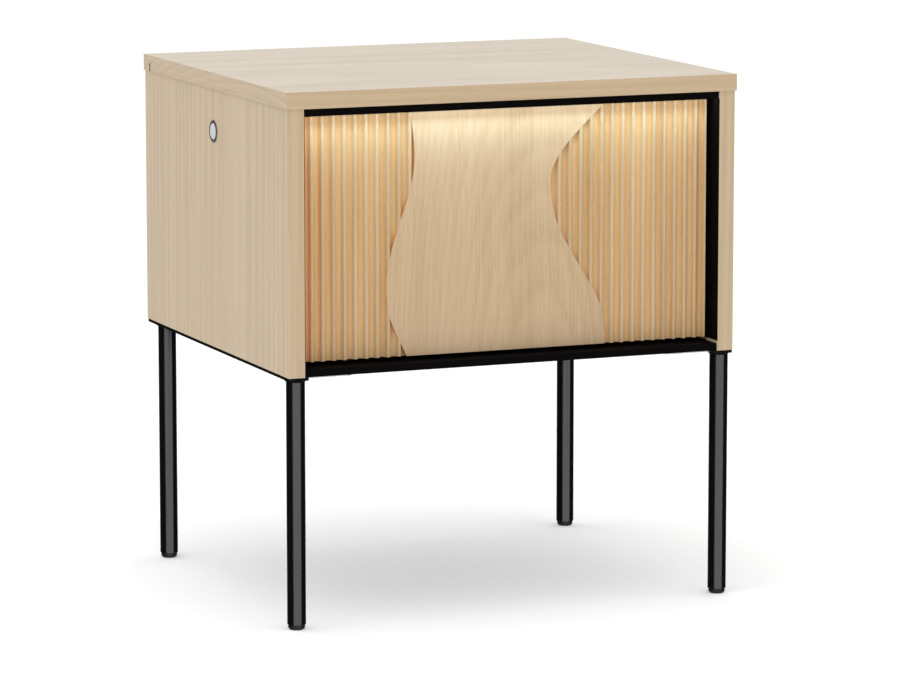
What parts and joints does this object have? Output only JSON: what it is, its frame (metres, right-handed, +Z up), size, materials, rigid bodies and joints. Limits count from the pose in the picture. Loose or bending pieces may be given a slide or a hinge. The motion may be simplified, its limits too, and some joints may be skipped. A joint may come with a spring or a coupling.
{
  "type": "bedside cabinet",
  "caption": "Bedside cabinet on slim steel legs with a push-to-open drawer, a fluted front with a smooth wave, and a lamp under the top worked by a side switch.",
  "frame": {"origin": "on the floor, under the middle of the cabinet's outline", "axes": "+Z up; the drawer front faces -Y; +X is to the right of someone who faces the front"},
  "size_m": [0.46, 0.41, 0.508],
  "materials": {
    "oak": "light oak laminate, fine grain, satin",
    "front_oak": "warm oak veneer, satin lacquer",
    "black_board": "black laminate, matte",
    "drawer_board": "dark grey laminate, matte",
    "black_steel": "black powder coat, fine texture",
    "black_aluminium": "black anodised, matte",
    "zinc": "bright zinc plate",
    "black_plastic": "moulded, fine texture",
    "grey_plastic": "moulded, fine texture",
    "white_plastic": "moulded, satin",
    "dark_ring": "dark bronze plating, satin",
    "opal": "opal diffuser",
    "circuit": "warm white circuit strip"
  },
  "bodies": {
    "cabinet": {"top_panel": "oak", "side_panel_left": "oak", "side_panel_right": "oak", "cam_lock_front_left": "zinc", "cam_lock_front_right": "zinc", "cam_lock_back_left": "zinc", "cam_lock_back_right": "zinc", "bottom_panel": "black_board", "back_panel": "black_board", "side_trim_left": "black_aluminium", "side_trim_right": "black_aluminium", "lamp_profile": "black_aluminium", "lamp_strip": "circuit", "lamp_diffuser": "opal", "switch_bezel": "dark_ring", "switch_nut": "zinc", "switch_housing": "black_plastic", "power_inlet": "black_plastic", "power_inlet_nut": "zinc", "supply_lead": "black_plastic", "lamp_lead": "black_plastic", "cable_clip_front": "grey_plastic", "cable_clip_middle": "grey_plastic", "cable_clip_side": "grey_plastic", "leg_rail_left": "black_steel", "leg_rail_right": "black_steel", "corner_plate_front_left": "zinc", "corner_plate_front_right": "zinc", "corner_plate_back_left": "zinc", "corner_plate_back_right": "zinc", "leg_front_left": "black_steel", "leg_front_right": "black_steel", "leg_back_left": "black_steel", "leg_back_right": "black_steel", "foot_front_left": "black_plastic", "foot_front_right": "black_plastic", "foot_back_left": "black_plastic", "foot_back_right": "black_plastic", "slide_case_left": "zinc", "slide_case_right": "zinc", "latch_housing": "grey_plastic"},
    "latch_plunger": {"latch_plunger": "white_plastic"},
    "drawer": {"drawer_front": "front_oak", "drawer_side_left": "drawer_board", "drawer_side_right": "drawer_board", "drawer_back": "drawer_board", "drawer_bottom": "drawer_board", "slide_drawer_left": "zinc", "slide_drawer_right": "zinc"},
    "slide_middle_left": {"slide_middle_left": "zinc"},
    "slide_middle_right": {"slide_middle_right": "zinc"},
    "switch_button": {"switch_button": "white_plastic"}
  },
  "joints": [
    {"name": "latch_stroke", "type": "slide", "parent": "cabinet", "child": "latch_plunger", "axis": [0, -1, 0], "range_m": [-0.0025, 0.02]},
    {"name": "drawer_slide", "type": "slide", "parent": "latch_plunger", "child": "drawer", "axis": [0, -1, 0], "range_m": [0, 0.25]},
    {"name": "slide_left_travel", "type": "slide", "parent": "cabinet", "child": "slide_middle_left", "axis": [0, -1, 0], "range_m": [0, 0.125]},
    {"name": "slide_right_travel", "type": "slide", "parent": "cabinet", "child": "slide_middle_right", "axis": [0, -1, 0], "range_m": [0, 0.125]},
    {"name": "switch_press", "type": "slide", "parent": "cabinet", "child": "switch_button", "axis": [1, 0, 0], "range_m": [0, 0.0014], "stiffness_N_per_m": 300}
  ],
  "couplings": [
    {"joint": "slide_left_travel", "follows": "drawer_slide", "ratio": 0.5},
    {"joint": "slide_right_travel", "follows": "drawer_slide", "ratio": 0.5}
  ]
}
